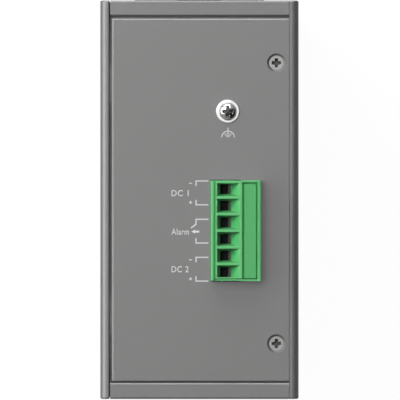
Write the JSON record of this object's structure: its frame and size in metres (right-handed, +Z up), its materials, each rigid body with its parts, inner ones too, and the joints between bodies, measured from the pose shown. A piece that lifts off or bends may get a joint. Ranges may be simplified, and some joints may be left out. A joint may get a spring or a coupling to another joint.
{
  "type": "din rail ethernet switch",
  "caption": "Narrow metal-cased industrial network switch for a top-hat rail, with a pluggable screw terminal and an earth screw on its top face.",
  "frame": {"origin": "middle of the bottom panel's outer face, on which the case stands", "axes": "+Z up through the terminal face, -Y out of the port face, +Y towards the rail, +X to the right seen from the front"},
  "size_m": [0.06, 0.1274, 0.162],
  "materials": {
    "grey_paint": "fine satin powder coat",
    "dull_zinc": "dull zinc plate",
    "bright_nickel": "bright nickel plate",
    "plain_steel": "plain",
    "green_moulding": "satin moulded polyamide",
    "tinned_metal": "tin plate",
    "clamp_zinc": "bright zinc plate",
    "board_laminate": "glossy solder mask",
    "black_moulding": "satin",
    "gold_contact": "gold flash",
    "shield_steel": "nickel plate",
    "clear_moulding": "clear, polished",
    "lamp_body": "moulded resin",
    "thermal_pad": "soft filled silicone",
    "sink_aluminium": "anodised",
    "dark_ferrite": "ground ferrite",
    "relay_case": "moulded"
  },
  "bodies": {
    "case": {"left_side_cover": "grey_paint", "right_side_cover": "grey_paint", "top_panel": "grey_paint", "bottom_panel": "grey_paint", "front_panel": "grey_paint", "rear_panel": "grey_paint", "side_cover_screws": "dull_zinc", "top_panel_screws": "dull_zinc", "bottom_panel_screws": "dull_zinc", "board_screws": "dull_zinc", "power_board_screws": "dull_zinc", "bracket_screws": "dull_zinc", "earth_screw": "bright_nickel", "earth_washer": "bright_nickel", "earth_nut": "plain_steel", "board_spacers": "plain_steel", "power_board_spacers": "plain_steel", "header_housing": "green_moulding", "header_pins": "tinned_metal", "main_board": "board_laminate", "power_board": "board_laminate", "link_socket": "black_moulding", "link_header": "black_moulding", "port_housing": "black_moulding", "module_connectors": "black_moulding", "switch_chip": "black_moulding", "controller_chip": "black_moulding", "port_transformers": "black_moulding", "link_pins": "gold_contact", "port_contacts": "gold_contact", "port_shield": "shield_steel", "module_cage_lower": "shield_steel", "module_cage_upper": "shield_steel", "rail_bracket": "shield_steel", "latch_spring": "shield_steel", "light_pipes": "clear_moulding", "indicator_lamps": "lamp_body", "chip_pad": "thermal_pad", "chip_heat_sink": "sink_aluminium", "storage_capacitors": "sink_aluminium", "power_inductor": "dark_ferrite", "power_transformer": "dark_ferrite", "input_choke": "dark_ferrite", "alarm_relay": "relay_case"},
    "terminal_plug": {"plug_housing": "green_moulding", "plug_contacts": "tinned_metal"},
    "latch": {"rail_latch": "black_moulding"},
    "screw_1": {"clamp_screw_1": "clamp_zinc"},
    "cage_1": {"clamp_cage_1": "tinned_metal"},
    "screw_2": {"clamp_screw_2": "clamp_zinc"},
    "cage_2": {"clamp_cage_2": "tinned_metal"},
    "screw_3": {"clamp_screw_3": "clamp_zinc"},
    "cage_3": {"clamp_cage_3": "tinned_metal"},
    "screw_4": {"clamp_screw_4": "clamp_zinc"},
    "cage_4": {"clamp_cage_4": "tinned_metal"},
    "screw_5": {"clamp_screw_5": "clamp_zinc"},
    "cage_5": {"clamp_cage_5": "tinned_metal"},
    "screw_6": {"clamp_screw_6": "clamp_zinc"},
    "cage_6": {"clamp_cage_6": "tinned_metal"}
  },
  "joints": [
    {"name": "plug_pull", "type": "slide", "parent": "case", "child": "terminal_plug", "axis": [0, 0, 1], "range_m": [0, 0.02]},
    {"name": "latch_pull", "type": "slide", "parent": "case", "child": "latch", "axis": [0, 0, -1], "range_m": [0, 0.005], "stiffness_N_per_m": 1200, "springref_m": -0.004, "deforming": ["latch_spring"]},
    {"name": "clamp_screw_1_turn", "type": "hinge", "parent": "terminal_plug", "child": "screw_1", "pos_m": [0.015, 0.00317, 0.156], "axis": [-1, 0, 0], "range_deg": [0, 1800]},
    {"name": "clamp_cage_1_lift", "type": "slide", "parent": "terminal_plug", "child": "cage_1", "axis": [1, 0, 0], "range_m": [0, 0.0025]},
    {"name": "clamp_screw_2_turn", "type": "hinge", "parent": "terminal_plug", "child": "screw_2", "pos_m": [0.015, -0.00183, 0.156], "axis": [-1, 0, 0], "range_deg": [0, 1800]},
    {"name": "clamp_cage_2_lift", "type": "slide", "parent": "terminal_plug", "child": "cage_2", "axis": [1, 0, 0], "range_m": [0, 0.0025]},
    {"name": "clamp_screw_3_turn", "type": "hinge", "parent": "terminal_plug", "child": "screw_3", "pos_m": [0.015, -0.00683, 0.156], "axis": [-1, 0, 0], "range_deg": [0, 1800]},
    {"name": "clamp_cage_3_lift", "type": "slide", "parent": "terminal_plug", "child": "cage_3", "axis": [1, 0, 0], "range_m": [0, 0.0025]},
    {"name": "clamp_screw_4_turn", "type": "hinge", "parent": "terminal_plug", "child": "screw_4", "pos_m": [0.015, -0.01183, 0.156], "axis": [-1, 0, 0], "range_deg": [0, 1800]},
    {"name": "clamp_cage_4_lift", "type": "slide", "parent": "terminal_plug", "child": "cage_4", "axis": [1, 0, 0], "range_m": [0, 0.0025]},
    {"name": "clamp_screw_5_turn", "type": "hinge", "parent": "terminal_plug", "child": "screw_5", "pos_m": [0.015, -0.01683, 0.156], "axis": [-1, 0, 0], "range_deg": [0, 1800]},
    {"name": "clamp_cage_5_lift", "type": "slide", "parent": "terminal_plug", "child": "cage_5", "axis": [1, 0, 0], "range_m": [0, 0.0025]},
    {"name": "clamp_screw_6_turn", "type": "hinge", "parent": "terminal_plug", "child": "screw_6", "pos_m": [0.015, -0.02183, 0.156], "axis": [-1, 0, 0], "range_deg": [0, 1800]},
    {"name": "clamp_cage_6_lift", "type": "slide", "parent": "terminal_plug", "child": "cage_6", "axis": [1, 0, 0], "range_m": [0, 0.0025]}
  ],
  "couplings": [
    {"joint": "clamp_screw_1_turn", "follows": "clamp_cage_1_lift", "rad_per_m": 12566},
    {"joint": "clamp_screw_2_turn", "follows": "clamp_cage_2_lift", "rad_per_m": 12566},
    {"joint": "clamp_screw_3_turn", "follows": "clamp_cage_3_lift", "rad_per_m": 12566},
    {"joint": "clamp_screw_4_turn", "follows": "clamp_cage_4_lift", "rad_per_m": 12566},
    {"joint": "clamp_screw_5_turn", "follows": "clamp_cage_5_lift", "rad_per_m": 12566},
    {"joint": "clamp_screw_6_turn", "follows": "clamp_cage_6_lift", "rad_per_m": 12566}
  ]
}
